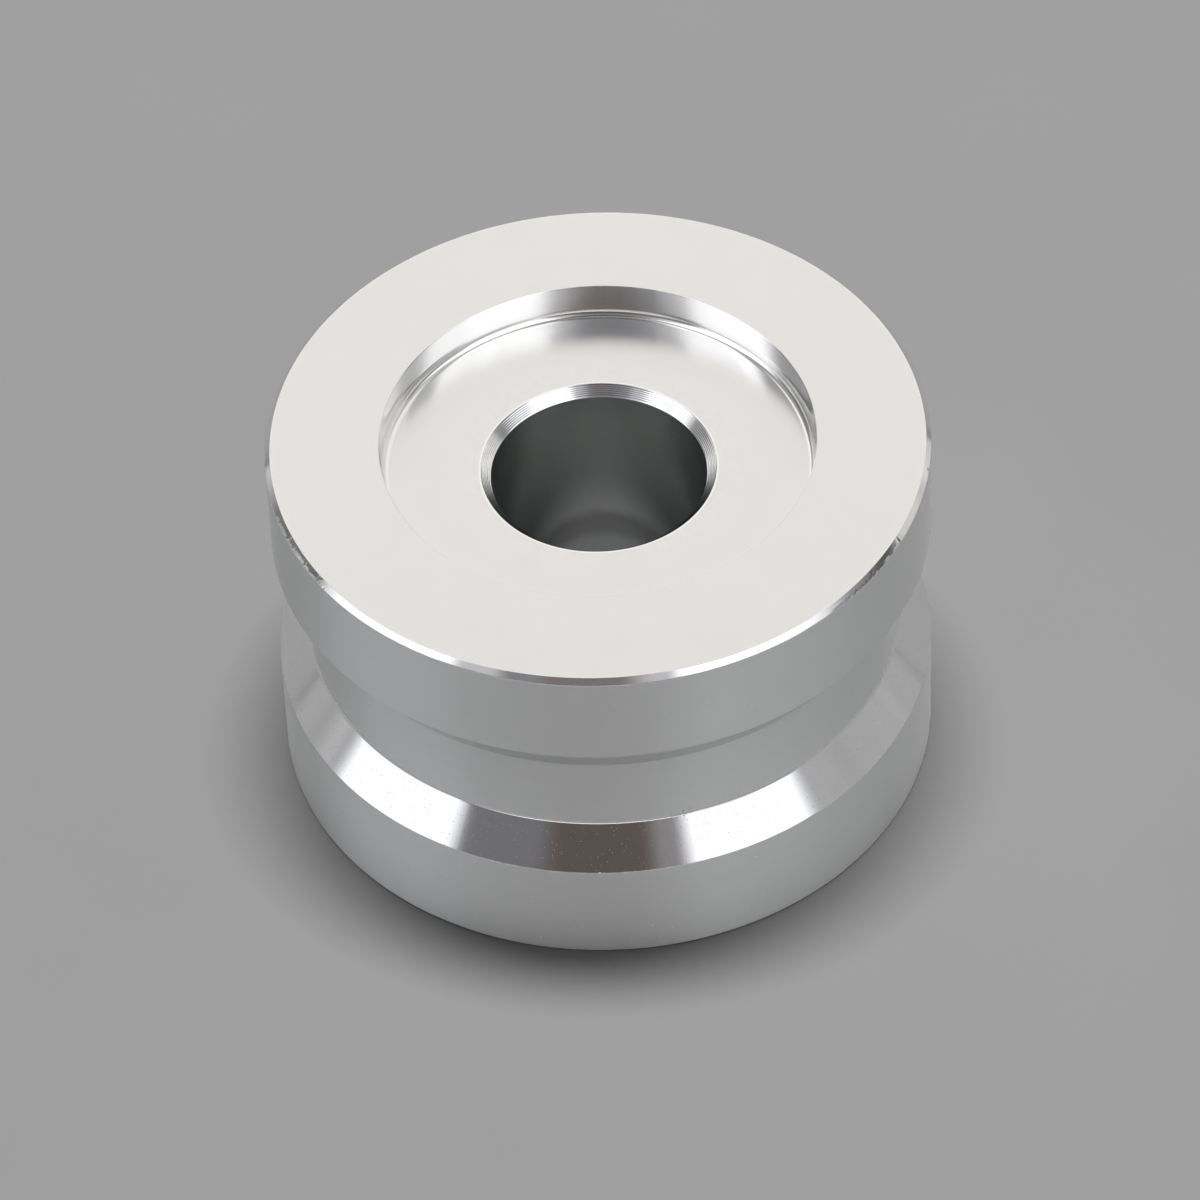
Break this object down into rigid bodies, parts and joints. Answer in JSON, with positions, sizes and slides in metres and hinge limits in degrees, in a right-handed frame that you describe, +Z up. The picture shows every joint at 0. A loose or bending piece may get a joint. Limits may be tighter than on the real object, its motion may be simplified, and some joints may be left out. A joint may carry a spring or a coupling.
{
  "type": "grooved turned collar",
  "caption": "Turned aluminium collar with a shallow outer groove between its flanges, a recessed top face and a plain through bore.",
  "frame": {"origin": "centre of the flat base, on the turning axis", "axes": "+Z up along the turning axis, from the flat base towards the recessed top face; X and Y are equivalent"},
  "size_m": [0.05, 0.05, 0.0297],
  "materials": {
    "body": "fine turned, satin top face and bright flanks"
  },
  "bodies": {
    "root": {"grooved_collar": "body"}
  },
  "joints": []
}
